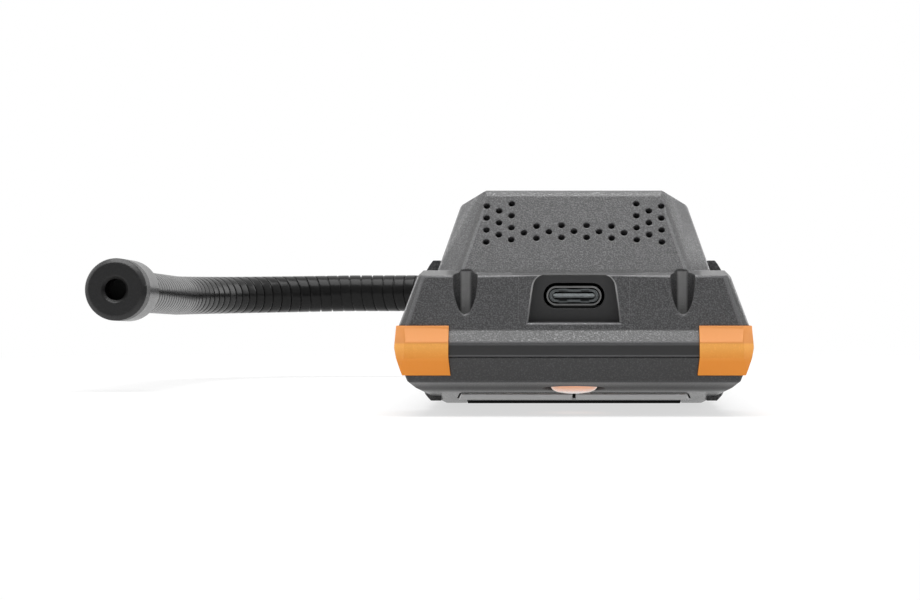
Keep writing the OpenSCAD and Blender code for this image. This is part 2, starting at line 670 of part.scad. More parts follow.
module gooseneck_base() color([0.13, 0.13, 0.13]) neck_start() {
    turned([[lead_d / 2 + stub_in, -stub_l], [core_d / 2 - stub_in, -stub_l],
        [core_d / 2 - stub_in, stub_in], [lead_d / 2 + stub_in, stub_in]]);
    neck_bend(bend_1_r, 90, stub_in);
}
module gooseneck_middle() color([0.13, 0.13, 0.13]) past_first() neck_bend(bend_2_r, bend_2_a);
module gooseneck_tip() color([0.13, 0.13, 0.13]) {
    past_first() past_bend(bend_2_r, bend_2_a) neck_bend(bend_3_r, bend_3_a);
    past_third() {
        translate([0, stub_in, 0]) neck_straight(neck_end - stub_in, rear_t);
        turned([[lead_d / 2 + stub_in, -3 * stub_in], [core_d / 2 - stub_in, -3 * stub_in],
            [core_d / 2 - stub_in, 4 * stub_in], [lead_d / 2 + stub_in, 4 * stub_in]]);
    }
}
module at_sensor() past_third() translate([0, neck_end, 0]) children();

module sensor_barrel() color([0.2, 0.2, 0.2]) at_sensor() turned([[core_d / 2, 0], [head_d / 2 - 0.5, 0],
    [head_d / 2, 0.5], [head_d / 2, barrel_l], [inner_r, barrel_l], [inner_r, rear_t],
    [core_d / 2, rear_t]]);

module sensor_board() color([0.1, 0.32, 0.16]) at_sensor() translate([0, rear_t, 0]) rotate([-90, 0, 0])
    cylinder(r = inner_r, h = sensor_board_t);

module sensor_can() color([0.75, 0.75, 0.76]) at_sensor() translate([0, rear_t + sensor_board_t, 0])
    rotate([-90, 0, 0]) cylinder(d = can_d, h = can_h);

module sensor_filter() color([0.5, 0.5, 0.5]) at_sensor() translate([0, barrel_l - 1.5 - filter_t, 0])
    rotate([-90, 0, 0]) cylinder(r = inner_r, h = filter_t);

module sensor_cap() color([0.17, 0.17, 0.17]) at_sensor() turned([[inlet_d / 2, barrel_l],
    [inner_r - 1.2, barrel_l], [inner_r - 1.2, barrel_l - 1.5], [inner_r, barrel_l - 1.5],
    [inner_r, barrel_l],
    [head_d / 2, barrel_l], [head_d / 2, cap_top - 0.9], [head_d / 2 - 0.9, cap_top],
    [inlet_d / 2 + 0.6, cap_top], [inlet_d / 2, cap_top - 0.6]]);

back_shell();
front_shell();
bumper_left();
bumper_right();
grip_left();
grip_right();
display_lens();
display_module();
display_board();
key_switches();
board_screws();
power_button();
key_left();
key_right();
power_board();
usb_shell();
usb_tongue();
board_header();
battery_cell();
battery_holder();
battery_contacts();
sounder();
case_screws();
neck_bush();
neck_nut();
neck_ferrule();
gooseneck_base();
gooseneck_middle();
gooseneck_tip();
sensor_barrel();
sensor_cap();
sensor_filter();
sensor_can();
sensor_board();
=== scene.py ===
# %% [markdown]
# # A handheld refrigerant leak detector
# The instrument lies on its face, seen from the butt: a faceted grey housing in two shells, a hump
# with sounder holes, a charging port, orange corner bumpers, and a wound black gooseneck that brings
# the sensor head back beside the body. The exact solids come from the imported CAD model. Blender
# rounds their edges, winds the gooseneck as one real helix and gives every surface its finish.

# %% Load the solids
import json
import math

import bpy
from mathutils import Matrix, Vector

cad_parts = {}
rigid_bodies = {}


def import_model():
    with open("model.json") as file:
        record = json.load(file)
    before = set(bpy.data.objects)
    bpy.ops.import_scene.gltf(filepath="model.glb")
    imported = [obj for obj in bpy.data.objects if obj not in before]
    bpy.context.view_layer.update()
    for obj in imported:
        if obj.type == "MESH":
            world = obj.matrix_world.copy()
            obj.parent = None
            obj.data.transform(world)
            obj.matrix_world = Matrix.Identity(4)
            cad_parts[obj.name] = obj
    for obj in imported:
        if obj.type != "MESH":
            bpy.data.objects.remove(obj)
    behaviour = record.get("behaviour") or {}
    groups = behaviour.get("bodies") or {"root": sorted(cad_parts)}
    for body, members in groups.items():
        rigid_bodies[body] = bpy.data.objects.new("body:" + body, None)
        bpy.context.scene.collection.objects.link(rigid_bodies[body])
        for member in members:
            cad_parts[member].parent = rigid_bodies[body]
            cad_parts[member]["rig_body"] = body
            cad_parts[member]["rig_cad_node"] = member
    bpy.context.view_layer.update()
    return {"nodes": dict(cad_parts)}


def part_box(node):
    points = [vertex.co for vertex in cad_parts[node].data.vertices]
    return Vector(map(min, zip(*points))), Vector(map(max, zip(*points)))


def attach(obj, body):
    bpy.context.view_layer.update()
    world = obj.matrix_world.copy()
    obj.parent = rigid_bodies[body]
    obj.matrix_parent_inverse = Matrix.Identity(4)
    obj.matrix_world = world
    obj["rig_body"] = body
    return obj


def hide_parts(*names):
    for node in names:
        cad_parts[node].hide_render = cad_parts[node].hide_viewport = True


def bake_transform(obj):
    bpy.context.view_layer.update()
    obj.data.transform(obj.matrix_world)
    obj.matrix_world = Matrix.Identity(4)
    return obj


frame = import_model()
nodes = frame["nodes"]
MM = 0.001
BUTT_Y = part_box("back_shell")[0].y
BUTT = BUTT_Y / MM
print("solids:", len(nodes), "butt at", round(BUTT, 1), "mm")

# %% [markdown]
# ## Copies of the moulded pieces
# A moulded piece has no knife edges: a radius of a few tenths of a millimetre catches the light along
# every outer edge, and that thin line is what makes plastic look like plastic. The radius could be cut
# into the CAD solids, but there it would multiply their faces, so a copy of each mesh is rounded here.
# A CAD mesh is loose triangles: the copy's points are merged and its flat triangles are joined into
# whole faces first, because a Bevel modifier needs edges that are shared.

# %% Select, apply and copy
MERGE_MM, FLAT_DEG = 0.002, 0.6


def only(obj):
    """Make obj the one selected and active object."""
    bpy.ops.object.select_all(action="DESELECT")
    obj.select_set(True)
    bpy.context.view_layer.objects.active = obj


def apply_all(obj):
    """Apply every modifier of obj, top to bottom."""
    only(obj)
    for name in [m.name for m in obj.modifiers]:
        bpy.ops.object.modifier_apply(modifier=name)


def merged_copy(node):
    """A copy of a CAD node with its points merged and its flat faces whole."""
    only(nodes[node])
    bpy.ops.object.duplicate()
    piece = bpy.context.active_object
    piece.name = node + "_rounded"
    piece.data.name = piece.name
    del piece["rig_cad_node"]
    bpy.ops.mesh.customdata_custom_splitnormals_clear()
    bpy.ops.object.mode_set(mode="EDIT")
    bpy.ops.mesh.select_all(action="SELECT")
    bpy.ops.mesh.remove_doubles(threshold=MERGE_MM * MM)
    bpy.ops.mesh.dissolve_limited(angle_limit=math.radians(FLAT_DEG))
    bpy.ops.mesh.select_all(action="DESELECT")
    bpy.ops.object.mode_set(mode="OBJECT")
    return piece


# %% [markdown]
# ## Choosing the edges
# On the real housing the outer edges are eased and the inner corners are crisp. The edges could be
# picked one by one, but a rule still holds when the CAD model changes: an edge is rounded where its
# two faces meet in a ridge and a ray that leaves its middle, straight out between them, meets nothing.
# The other clear creases are marked sharp, so that smooth shading doesn't blur them.

# %% Outer edges
CREASE_DEG = 10     # a crease that turns more than this stays crisp
LIFT_MM = 0.03      # the ray starts this far off the edge
CLEAR_M = 0.25      # and looks this far


def runs_along(face, edge):
    """True where the face passes its edge from the edge's first point to the second."""
    ring = list(face.vertices)
    first = ring.index(edge.vertices[0])
    return ring[(first + 1) % len(ring)] == edge.vertices[1]


def faces_by_edge(mesh):
    """The faces at each edge of a mesh, by the edge's key."""
    faces_at = {}
    for face in mesh.polygons:
        for key in face.edge_keys:
            faces_at.setdefault(key, []).append(face)
    return faces_at


def outer_edges(piece, shortest, angle, leave_out):
    """Select the outward edges that turn more than angle, keep the other creases crisp, and count."""
    mesh, faces_at = piece.data, faces_by_edge(piece.data)
    bpy.context.tool_settings.mesh_select_mode = (False, True, False)
    around = bpy.context.evaluated_depsgraph_get()
    count = 0
    for edge in mesh.edges:
        faces = faces_at.get(edge.key, [])
        a, b = (mesh.vertices[i].co for i in edge.vertices)
        edge.select = False
        if len(faces) != 2 or (a - b).length < shortest:
            continue
        one, two = faces
        middle = (a + b) / 2
        outward = (one.normal + two.normal).normalized()
        turn = one.normal.angle(two.normal, 0)
        ridge = one.normal.cross(two.normal).dot(b - a) * (1 if runs_along(one, edge) else -1) > 0
        start = middle + outward * LIFT_MM * MM
        if (turn > math.radians(angle) and ridge and not leave_out(middle / MM)
                and not bpy.context.scene.ray_cast(around, start, outward, distance=CLEAR_M)[0]):
            edge.select = True
            count += 1
        elif turn > math.radians(CREASE_DEG):
            edge.use_edge_sharp = True
    return count


# %% [markdown]
# ## Rounding a piece
# The chosen edges get a bevel weight, and a Bevel modifier rounds only those. It gives its new faces a
# second material slot, which is turned into an attribute on the faces, so that a finish can find the
# rounded edges and paint a highlight on them. A Weighted Normal modifier then keeps the large faces
# flat up to their edges. The copy rides on the node's own body and replaces it.

# %% Bevel and mark
SMOOTH_DEG = 40     # edges that turn less than this are shaded smooth


def mark_strips(piece):
    """Keep an attribute that is 1 on the faces which the bevel made, for the finish to read."""
    strip = piece.data.attributes.new("edge_strip", "FLOAT", "FACE")
    for face in piece.data.polygons:
        strip.data[face.index].value = float(face.material_index == 1)
        face.material_index = 0
    piece.data.materials.pop()


def rounded(node, radius, shortest=2.0, angle=14, segments=3, leave_out=lambda middle: False):
    """Replace a CAD node by a copy whose outer edges have a radius, in millimetres."""
    piece = merged_copy(node)
    count = outer_edges(piece, shortest * MM, angle, leave_out)
    only(piece)
    bpy.ops.object.mode_set(mode="EDIT")
    bpy.ops.transform.edge_bevelweight(value=1)
    bpy.ops.object.mode_set(mode="OBJECT")
    bevel = piece.modifiers.new("edge_radius", "BEVEL")
    bevel.limit_method = "WEIGHT"
    bevel.width = radius * MM
    bevel.segments = segments
    bevel.use_clamp_overlap = False
    bevel.loop_slide = False
    piece.data.materials.append(piece.data.materials[0])
    bevel.material = 1
    apply_all(piece)
    mark_strips(piece)
    bpy.ops.object.shade_smooth_by_angle(angle=math.radians(SMOOTH_DEG))
    flat = piece.modifiers.new("flat_faces", "WEIGHTED_NORMAL")
    flat.keep_sharp = True
    flat.weight = 100
    apply_all(piece)
    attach(piece, piece["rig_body"])
    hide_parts(node)
    print(node, "rounded edges:", count, "faces:", len(piece.data.polygons))
    return piece


# %% [markdown]
# ## One radius for each kind of piece
# The shells take the largest radius. The bumpers and grips lie flush in the shells, so theirs is small
# and the joint stays a thin line. One radius for all would be shorter to write, but it would fold the
# mesh in the narrow places, which are left out by their position.

# %% Round the moulded pieces
WELL_X = 17.65      # the screw wells are this far to each side of the middle
HEAD_Y = 29         # the head end starts here
FRONT_SEAM_Z = 8.9  # edges of the front shell above this belong to the parting line


def narrow_places(p):
    """Edges of the back shell with too little room beside them for a radius."""
    port = abs(p.x) < 6 and BUTT + 4.4 < p.y < BUTT + 8 and 15 < p.z < 22.4
    crest = p.z > 34.6
    seam = p.z < 11 and p.y > BUTT + 12
    wells = abs(abs(p.x) - WELL_X) < 2.4 and p.y < BUTT + 9
    shoulders = abs(p.x) > 23.5 and p.z > 21.5
    return port or crest or seam or wells or shoulders or p.y > HEAD_Y


back_shell = rounded("back_shell", 0.4, shortest=0.7, leave_out=narrow_places)
front_shell = rounded("front_shell", 0.34, shortest=0.7, leave_out=lambda p: p.z > FRONT_SEAM_Z)
bumpers = [rounded(n, 0.1, shortest=2.4, angle=20) for n in ("bumper_left", "bumper_right")]
grips = [rounded(n, 0.1, shortest=2.0) for n in ("grip_left", "grip_right")]
keys = [rounded(n, 0.22, shortest=2.0, angle=30) for n in ("key_left", "key_right")]
lens = rounded("display_lens", 0.12, shortest=2.0, angle=30)
port = rounded("usb_shell", 0.07, shortest=0.05, angle=50, segments=2)
barrel, cap, bush, ferrule = (rounded(n, 0.2, shortest=0.3, angle=30) for n in (
    "sensor_barrel", "sensor_cap", "neck_bush", "neck_ferrule"))

# %% [markdown]
# ## The gooseneck's route
# A gooseneck is a steel strip wound into a tight helix, so that it bends and stays bent. Its route is
# three bends and a straight end, the same as in the CAD model. It could be drawn as a smooth curve by
# eye, but points worked out from the bends lie exactly where the CAD turns are.

# %% The route of the gooseneck
BENDS = [(54, 90), (33.3, 63), (63, 25)]      # radius in millimetres and angle in degrees
STRAIGHT, DROOP, RISE = 53, 1.0, 1.0          # the end in millimetres, two small tilts in degrees
TURNS = [30, 13, 29]                          # turns of the strip in each length


def past_bend(radius, angle):
    """The frame past a bend to the left: radius in millimetres, angle in degrees."""
    side = Vector((-radius, 0, 0))
    turn = Matrix.Rotation(math.radians(angle), 4, "Z")
    return Matrix.Translation(side) @ turn @ Matrix.Translation(-side)


def route_points(step=0.5):
    """Points along the gooseneck's centre line and the ends of its lengths, in millimetres."""
    lo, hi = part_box("neck_ferrule")
    at = Matrix.Translation((0, hi.y / MM, (lo.z + hi.z) / 2 / MM))
    points, ends, lengths = [at.translation.copy()], [at.translation.copy()], []
    for (radius, angle), lean in zip(BENDS, (-DROOP, 0, RISE)):
        count = round(radius * math.radians(angle) / step)
        points += [(at @ past_bend(radius, angle * (i + 1) / count)).translation for i in range(count)]
        at = at @ past_bend(radius, angle) @ Matrix.Rotation(math.radians(lean), 4, "X")
        ends.append(at.translation.copy())
        lengths.append(radius * math.radians(angle))
    points += [(at @ Matrix.Translation((0, step * (i + 1), 0))).translation
               for i in range(round(STRAIGHT / step))]
    ends[-1] = points[-1].copy()
    lengths[-1] += STRAIGHT
    return points, ends, lengths


points, ends, lengths = route_points()
print("route points:", len(points), "ends at", [tuple(round(x, 1) for x in p) for p in ends])

# %% The guide curve
guide_data = bpy.data.curves.new("neck_guide", "CURVE")
guide_data.dimensions = "3D"
guide_data.twist_mode = "Z_UP"
spline = guide_data.splines.new("POLY")
spline.points.add(len(points) - 1)
for target, place in zip(spline.points, points):
    target.co = (*(place * MM), 1)
guide = bpy.data.objects.new("neck_guide", guide_data)
bpy.context.scene.collection.objects.link(guide)
print("guide:", guide.name)

# %% [markdown]
# ## Winding the strip
# The turns show as thin dark lines that lean a little to one side, because they are one helix. A stack
# of rings would be simpler, but its lines wouldn't lean. So one turn's outline is drawn as a chain of
# points, a Screw modifier winds it, and a Curve modifier lays the straight winding along the route.
# The outline is a flat land between two narrow grooves, with its corners eased.

# %% Wind one length
TURN_OUTLINE = [(4.0, 0.0), (4.0, 0.06), (4.3, 0.07), (4.36, 0.1), (4.375, 0.2), (4.375, 0.85),
                (4.36, 0.95), (4.3, 0.985), (4.0, 1.0)]     # radius in millimetres, share of the pitch
STEPS_PER_TURN = 44
SEAM_MM, LAND_DEG = 0.004, 35


def wound_length(name, turns, pitch, start):
    """A helix of the strip, laid along the guide from arc length start, in millimetres."""
    bpy.ops.object.select_all(action="DESELECT")
    bpy.context.tool_settings.mesh_select_mode = (True, False, False)
    bpy.ops.mesh.primitive_plane_add(size=MM)
    piece = bpy.context.active_object
    piece.name = name
    bpy.ops.object.mode_set(mode="EDIT")
    bpy.ops.mesh.select_all(action="SELECT")
    bpy.ops.mesh.merge(type="CENTER")
    r0, z0 = TURN_OUTLINE[0]
    bpy.ops.transform.translate(value=(r0 * MM, 0, (start + z0 * pitch) * MM))
    for (ra, za), (rb, zb) in zip(TURN_OUTLINE, TURN_OUTLINE[1:]):
        bpy.ops.mesh.extrude_region_move(
            TRANSFORM_OT_translate={"value": ((rb - ra) * MM, 0, (zb - za) * pitch * MM)})
    bpy.ops.object.mode_set(mode="OBJECT")
    wind = piece.modifiers.new("wind", "SCREW")
    wind.axis = "Z"
    wind.screw_offset = pitch * MM
    wind.iterations = turns
    wind.steps = wind.render_steps = STEPS_PER_TURN
    wind.use_smooth_shade = True
    lay = piece.modifiers.new("lay", "CURVE")
    lay.object = guide
    lay.deform_axis = "POS_Z"
    apply_all(piece)
    bpy.ops.object.mode_set(mode="EDIT")
    bpy.ops.mesh.select_all(action="SELECT")
    bpy.ops.mesh.remove_doubles(threshold=SEAM_MM * MM)
    bpy.ops.mesh.normals_make_consistent(inside=False)
    bpy.ops.object.mode_set(mode="OBJECT")
    bpy.ops.object.shade_smooth_by_angle(angle=math.radians(LAND_DEG))
    print(name, "faces:", len(piece.data.polygons))
    return piece


# %% [markdown]
# ## Three lengths on one helix
# The neck bends anywhere along its length, and the model gives it three bends. One long winding could
# follow only two bodies, so it is made in three lengths that meet on one helix.

# %% Lay the three lengths
NECK = ["neck_winding_base", "neck_winding_middle", "neck_winding_tip"]
neck_lengths = []
for i, name in enumerate(NECK):
    piece = wound_length(name, TURNS[i], lengths[i] / TURNS[i], sum(lengths[:i]))
    ends[i] * MM
    ends[i + 1] * MM
    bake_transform(piece)
    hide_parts("gooseneck_" + name.rsplit("_", 1)[1])
    neck_lengths.append(piece)
bpy.data.objects.remove(guide)
print("gooseneck length:", round(sum(lengths), 1), "mm")

# %% [markdown]
# ## Shader maths as Python
# A finish is a tree of nodes, and its sums are easier to read as expressions. Nodes could be added and
# linked one by one, but a small class that wraps an output socket, and whose operators add Math nodes,
# lets `1 - mask` or `grain * 0.2 + 0.4` stand as they are meant.

# %% The socket
class Value:
    """An output socket that can be used in sums."""

    def __init__(self, wiring, socket):
        self.wiring, self.socket = wiring, socket

    def _sum(self, operation, a, b):
        return self.wiring.node("ShaderNodeMath", {"operation": operation}, {0: a, 1: b})

    def __add__(self, other): return self._sum("ADD", self, other)
    def __radd__(self, other): return self._sum("ADD", other, self)
    def __sub__(self, other): return self._sum("SUBTRACT", self, other)
    def __rsub__(self, other): return self._sum("SUBTRACT", other, self)
    def __mul__(self, other): return self._sum("MULTIPLY", self, other)
    def __rmul__(self, other): return self._sum("MULTIPLY", other, self)
    def __pow__(self, other): return self._sum("POWER", self, other)
    def __rpow__(self, other): return self._sum("POWER", other, self)


# %% [markdown]
# ## One method for every node
# Every node that isn't a sum comes from one method, which takes the node's type, its settings and its
# inputs. The world's light has nodes too, so the method is in a class of its own that both share.

# %% The wiring
class Wiring:
    """A node tree and the one method that adds a node to it."""

    def __init__(self, tree):
        self.tree = tree

    def node(self, kind, settings=None, inputs=None, out=0):
        """Add a node, set it up, fill its inputs and give one of its outputs."""
        made = self.tree.nodes.new(kind)
        for key, value in (settings or {}).items():
            setattr(made, key, value)
        for key, value in (inputs or {}).items():
            self.fill(made.inputs[key], value)
        return Value(self, made.outputs[out])

    def fill(self, socket, value):
        """Link a value to an input, or set a plain number or colour on it."""
        if isinstance(value, Value):
            self.tree.links.new(value.socket, socket)
        else:
            socket.default_value = value

    def outputs(self, value, *names):
        """Several outputs of the node that a value comes from."""
        return [Value(self, value.socket.node.outputs[name]) for name in names]

    def larger(self, a, b):
        return self.node("ShaderNodeMath", {"operation": "MAXIMUM"}, {0: a, 1: b})

    def ramp(self, value, start, end, low=0.0, high=1.0, shape="LINEAR"):
        """Low where value is at start, high where it is at end, and a slope between them."""
        return self.node("ShaderNodeMapRange", {"interpolation_type": shape},
                         {"Value": value, "From Min": start, "From Max": end,
                          "To Min": low, "To Max": high})

    def between(self, value, low, high, soft):
        """1 where value lies between low and high, 0 outside, with soft ends."""
        return self.ramp(value, low - soft, low + soft) * self.ramp(value, high + soft, high - soft)

    def seen(self):
        """1 for what the camera, reflections and clear pieces see, 0 for light on a surface."""
        camera, glossy, through = self.outputs(self.node("ShaderNodeLightPath"), "Is Camera Ray",
                                               "Is Glossy Ray", "Is Transmission Ray")
        return self.larger(self.larger(camera, glossy), through)


# %% [markdown]
# ## A finish
# A finish is a material with one Principled shader. Patterns could sit on unwrapped UVs, but these
# pieces have no printed surface, so all of them read the object's own coordinates, in millimetres
# where a place on the piece is meant.

# %% The finish
class Finish(Wiring):
    """A material with one Principled shader, whose plain inputs are given by name."""

    def __init__(self, name, **plain):
        self.material = bpy.data.materials.new(name)
        self.material.use_nodes = True
        super().__init__(self.material.node_tree)
        self.shader = self.tree.nodes["Principled BSDF"]
        for socket, value in plain.items():
            self.feed(socket.replace("_", " "), value)

    def feed(self, socket, value):
        self.fill(self.shader.inputs[socket], value)

    def place(self):
        return self.node("ShaderNodeTexCoord", out="Object")

    def axes(self):
        """The three object coordinates of a point, in millimetres."""
        parts = self.node("ShaderNodeSeparateXYZ", None, {"Vector": self.place()})
        return [part * 1000 for part in self.outputs(parts, "X", "Y", "Z")]

    def strip(self):
        """1 on the faces which a bevel made."""
        return self.node("ShaderNodeAttribute", {"attribute_name": "edge_strip"}, out="Fac")

    def noise(self, scale, detail=2.0, roughness=0.5, where=None):
        return self.node("ShaderNodeTexNoise", {"noise_dimensions": "3D"},
                         {"Vector": where or self.place(), "Scale": scale, "Detail": detail,
                          "Roughness": roughness})

    def bump(self, height, strength, distance, under=None):
        inputs = {"Height": height, "Strength": strength, "Distance": distance}
        if under:
            inputs["Normal"] = under
        return self.node("ShaderNodeBump", None, inputs)

    def blend(self, factor, a, b):
        """A colour between a and b by factor."""
        return self.node("ShaderNodeMix", {"data_type": "RGBA"}, {0: factor, 6: a, 7: b}, out=2)

    def dress(self, *pieces):
        """Give the finish to pieces, or to CAD nodes by name."""
        for piece in pieces:
            mesh = (nodes[piece] if isinstance(piece, str) else piece).data
            mesh.materials.clear()
            mesh.materials.append(self.material)


# %% [markdown]
# ## Moulded texture
# The shells are moulded plastic with a spark-eroded texture: a fine sandy grain, about a quarter of a
# millimetre across, that glitters a little where it faces the light. Real grains would take millions
# of faces, so noise at that scale drives a bump. Its peaks are lighter and can carry a thin gloss, a
# coarser noise shifts the colour and the gloss by a few per cent, and the rounded edges get a painted
# highlight.

# %% Spark texture
PEAKS = (0.55, 0.72)    # the span of the noise over which a grain counts as a peak
GRAIN_DEPTH_MM = 0.05
DRIFT = 0.14            # how far the coarse noise shifts colour and roughness


def times(colour, factor):
    """A colour made darker or lighter."""
    return tuple(min(1.0, c * factor) for c in colour) + (1.0,)


def spark_texture(name, colour, grain_mm=0.23, strength=0.9, rough=0.46, contrast=2.0, plain=None,
                  tint=None, edge_mm=0.0, edge_highlight=0.0, glint=0.0, dull=None):
    """A moulded finish with a sandy grain. The mask of plain leaves the grain out and puts painted shade
    there; tint lays painted light and shade by place, dull changes the roughness, the rounded edges get a
    painted highlight, and glint makes peaks shine."""
    finish = Finish(name, Specular_IOR_Level=0.42)
    grain = finish.noise(1000 / grain_mm, detail=1.0, roughness=0.5)
    drift = (finish.noise(60, detail=3.0) - 0.5) * DRIFT
    peaks = finish.ramp(grain, *PEAKS)
    smooth_and_shaded = plain(finish) if plain else 0.0
    speck = ((grain - 0.5) * 0.8 + peaks * 0.9) * contrast * (1 - smooth_and_shaded) + drift
    paint = finish.blend(speck + 0.45, times(colour, 0.5), times(colour, 1.5))
    # Painted shade: the smooth places are painted darker.
    if plain:
        paint = finish.blend(smooth_and_shaded, paint, times(colour, 0.42))
    if tint:
        paint = tint(finish, paint)
    # Painted highlight: the rounded edges are paled toward a light grey.
    if edge_highlight:
        paint = finish.blend(finish.strip() * edge_highlight, paint, times(colour, 2.2))
    finish.feed("Base Color", paint)
    roughness = drift - peaks * 0.14 + rough
    finish.feed("Roughness", roughness + dull(finish) if dull else roughness)
    if glint:
        finish.feed("Coat Roughness", 0.25)
        finish.feed("Coat Weight", peaks * (1 - smooth_and_shaded) * glint)
    under = finish.node("ShaderNodeBevel", {"samples": 6}, {"Radius": edge_mm * MM}) if edge_mm else None
    finish.feed("Normal", finish.bump(grain * (1 - smooth_and_shaded), strength, GRAIN_DEPTH_MM * MM, under))
    return finish


# %% [markdown]
# ## Smooth places of the back shell
# On the real housing the pocket of the port and the narrow band above the parting line are smooth. They
# could be pieces of their own, but they are one moulding with the rest, so masks on the coordinates
# pick them out. The texture also paints them darker, as painted shade in the pocket's recess and on the
# upright band. The pocket lies behind the sloped end face, and a sum gives the depth behind that face.

# %% Masks at the end
END_Y, END_Z, END_LEAN = 3.25, 18.75, 0.326     # a point of the sloped end, and its lean
END_FOOT, END_TOP = 11.5, 23.6                  # the heights between which it slopes
BAND_FOOT = 9.2                                 # the smooth band reaches from here to the end's foot
POCKET_REACH, POCKET_TOP = 10, 22.9


def end_places(finish):
    """The distance from the middle, y, z, and 1 behind the sloped end, under the ledge of the hump."""
    x, y, z = finish.axes()
    side = finish.node("ShaderNodeMath", {"operation": "ABSOLUTE"}, {0: x})
    depth = y - (BUTT + END_Y) - (z - END_Z) * END_LEAN
    behind = finish.between(depth, 0.25, 9, 0.15) * finish.between(z, END_FOOT, END_TOP, 0.1)
    return side, y, z, behind


def smooth_shaded_places(finish):
    """1 in the port's pocket and on the band over the parting line, which are smooth and get painted shade.
    """
    side, y, z, behind = end_places(finish)
    pocket = (behind * finish.between(side, -1, POCKET_REACH, 0.1) *
              finish.between(z, END_FOOT, POCKET_TOP, 0.1))
    band = (finish.between(z, BAND_FOOT, END_FOOT, 0.05) *
            finish.between(y, BUTT - 1, BUTT + 0.1, 0.02))
    return finish.larger(pocket, band)


# %% [markdown]
# ## Wells, brow and ledge
# Two open wells lead the screwdriver to the case screws. Painted shade darkens them, with a painted
# highlight down the middle of their floors that grows lower down; the brow over the parting line gets a
# little painted light, and the ledge under the hump painted shade between the wells and a painted
# highlight outside them. These are small shifts of tone, so each is a mask that blends the paint toward
# a grey.

# %% Painted light and shade of the wells, the brow and the ledge
WELL_HALF, WELL_TOP = 2.6, 23.15        # half the width of a well, and where it ends
WELL_HIGHLIGHT_HALF = 0.75                  # half the width of the painted highlight down its floor
BROW = (11.6, 13.7)
LEDGE = (22.3, 23.4)
LEDGE_OUTER = (20.6, 30)                # the part of the ledge outside the wells


def grey(level):
    return (level, level, level, 1.0)


def in_wells(finish, side, z, behind):
    """1 inside the two screw wells."""
    return (behind * finish.between(side, WELL_X - WELL_HALF, WELL_X + WELL_HALF, 0.05) *
            finish.between(z, END_FOOT, WELL_TOP, 0.05))


def well_painted_shade_and_light(finish, paint, side, y, z, behind):
    """Paint shade into the wells, and a painted highlight down their floors, stronger lower down."""
    inside = in_wells(finish, side, z, behind)
    middle = finish.between(side, WELL_X - WELL_HIGHLIGHT_HALF, WELL_X + WELL_HIGHLIGHT_HALF, 0.2) * inside
    paint = finish.blend(inside * 0.4, paint, grey(0.03))
    well_highlight_grey = finish.blend(finish.ramp(z, 21.0, 15.0), grey(0.25), grey(0.5))
    return finish.blend(middle * 0.8, paint, well_highlight_grey)


def brow_painted_light(finish, paint, side, y, z, behind):
    """Paint a little light on the brow over the parting line, as a painted highlight."""
    brow = finish.between(z, *BROW, 0.05) * finish.between(y, BUTT - 1, BUTT + 1.8, 0.05)
    return finish.blend(brow * 0.3, paint, grey(0.13))


def ledge_painted_shade_and_light(finish, paint, side, y, z, behind):
    """Paint shade on the ledge under the hump, and a painted highlight on it outside the wells."""
    ledge = behind * finish.between(z, *LEDGE, 0.05) * (1 - in_wells(finish, side, z, behind))
    paint = finish.blend(ledge * 0.45, paint, grey(0.03))
    return finish.blend(ledge * finish.between(side, *LEDGE_OUTER, 0.3) * 0.7, paint, grey(0.17))


# %% [markdown]
# ## Corner facets and the pocket's rim
# Narrow facets cut the corners of the hump and of the sloped end, and painted shade makes them darker
# than their neighbours. The pocket of the port has a thin rim with a painted highlight. The facets lean
# inwards as they rise, so their masks lean too, and the rim follows the distance from the pocket's
# flared outline.

# %% Painted shade of the facets and painted highlight of the rim
HUMP_FACET = dict(foot=24.16, lean=0.331, across=(18.25, 18.9), up=(23.4, 34.3), deep=18, soft=0.15)
END_FACET = dict(foot=21.7, lean=0.349, across=(24.65, 25.55), up=(13.9, 22.3), deep=8, soft=0.1)
PORT_LO, PORT_HI = (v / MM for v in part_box("usb_shell"))
PORT_Z = (PORT_LO.z + PORT_HI.z) / 2
RIM_FOOT, RIM_TOP = PORT_Z - 4.325, 22.6
RIM_TURN = RIM_FOOT + 5.75              # the rim's corners turn about this height
RIM_HALF, RIM_FLARE = 4.63, 0.1226      # half the width there, and how it widens downwards
RIM = (2.02, 2.3)                       # the rim's inner and outer distance from that outline


def leaning_band(finish, side, y, z, foot, lean, across, up, deep, soft):
    """1 on a band that leans inwards as it rises."""
    return (finish.between(side + (z - foot) * lean, *across, soft) * finish.between(z, *up, 0.1) *
            finish.between(y, BUTT, BUTT + deep, 0.5))


def facet_painted_shade(finish, paint, side, y, z, behind):
    """Paint shade on the narrow facets at the corners of the hump and of the sloped end."""
    hump = leaning_band(finish, side, y, z, **HUMP_FACET)
    end = leaning_band(finish, side, y, z, **END_FACET)
    return finish.blend(hump * 0.5 + end * 0.6, paint, grey(0.018))


def rim_painted_highlight(finish, paint, side, y, z, behind):
    """Paint a highlight on the rim round the top and the sides of the port's pocket."""
    out = side - RIM_HALF - (RIM_TURN - z) * RIM_FLARE
    wide = finish.larger(out * finish.between(side, 4, 9, 0.1), 0.0)
    up = finish.larger(z - RIM_TURN, 0.0)
    rim = finish.between((wide * wide + up * up) ** 0.5, *RIM, 0.05) * (1 - behind)
    rim = rim * finish.between(z, RIM_FOOT, RIM_TOP, 0.05) * finish.between(y, BUTT + 1, BUTT + 4.6, 0.1)
    return finish.blend(rim * 0.9, paint, grey(0.28))


# %% [markdown]
# ## The back shell's finish
# The five tones of painted light and shade are laid one over the other, as a painter would, and the
# places are worked out once for all of them.

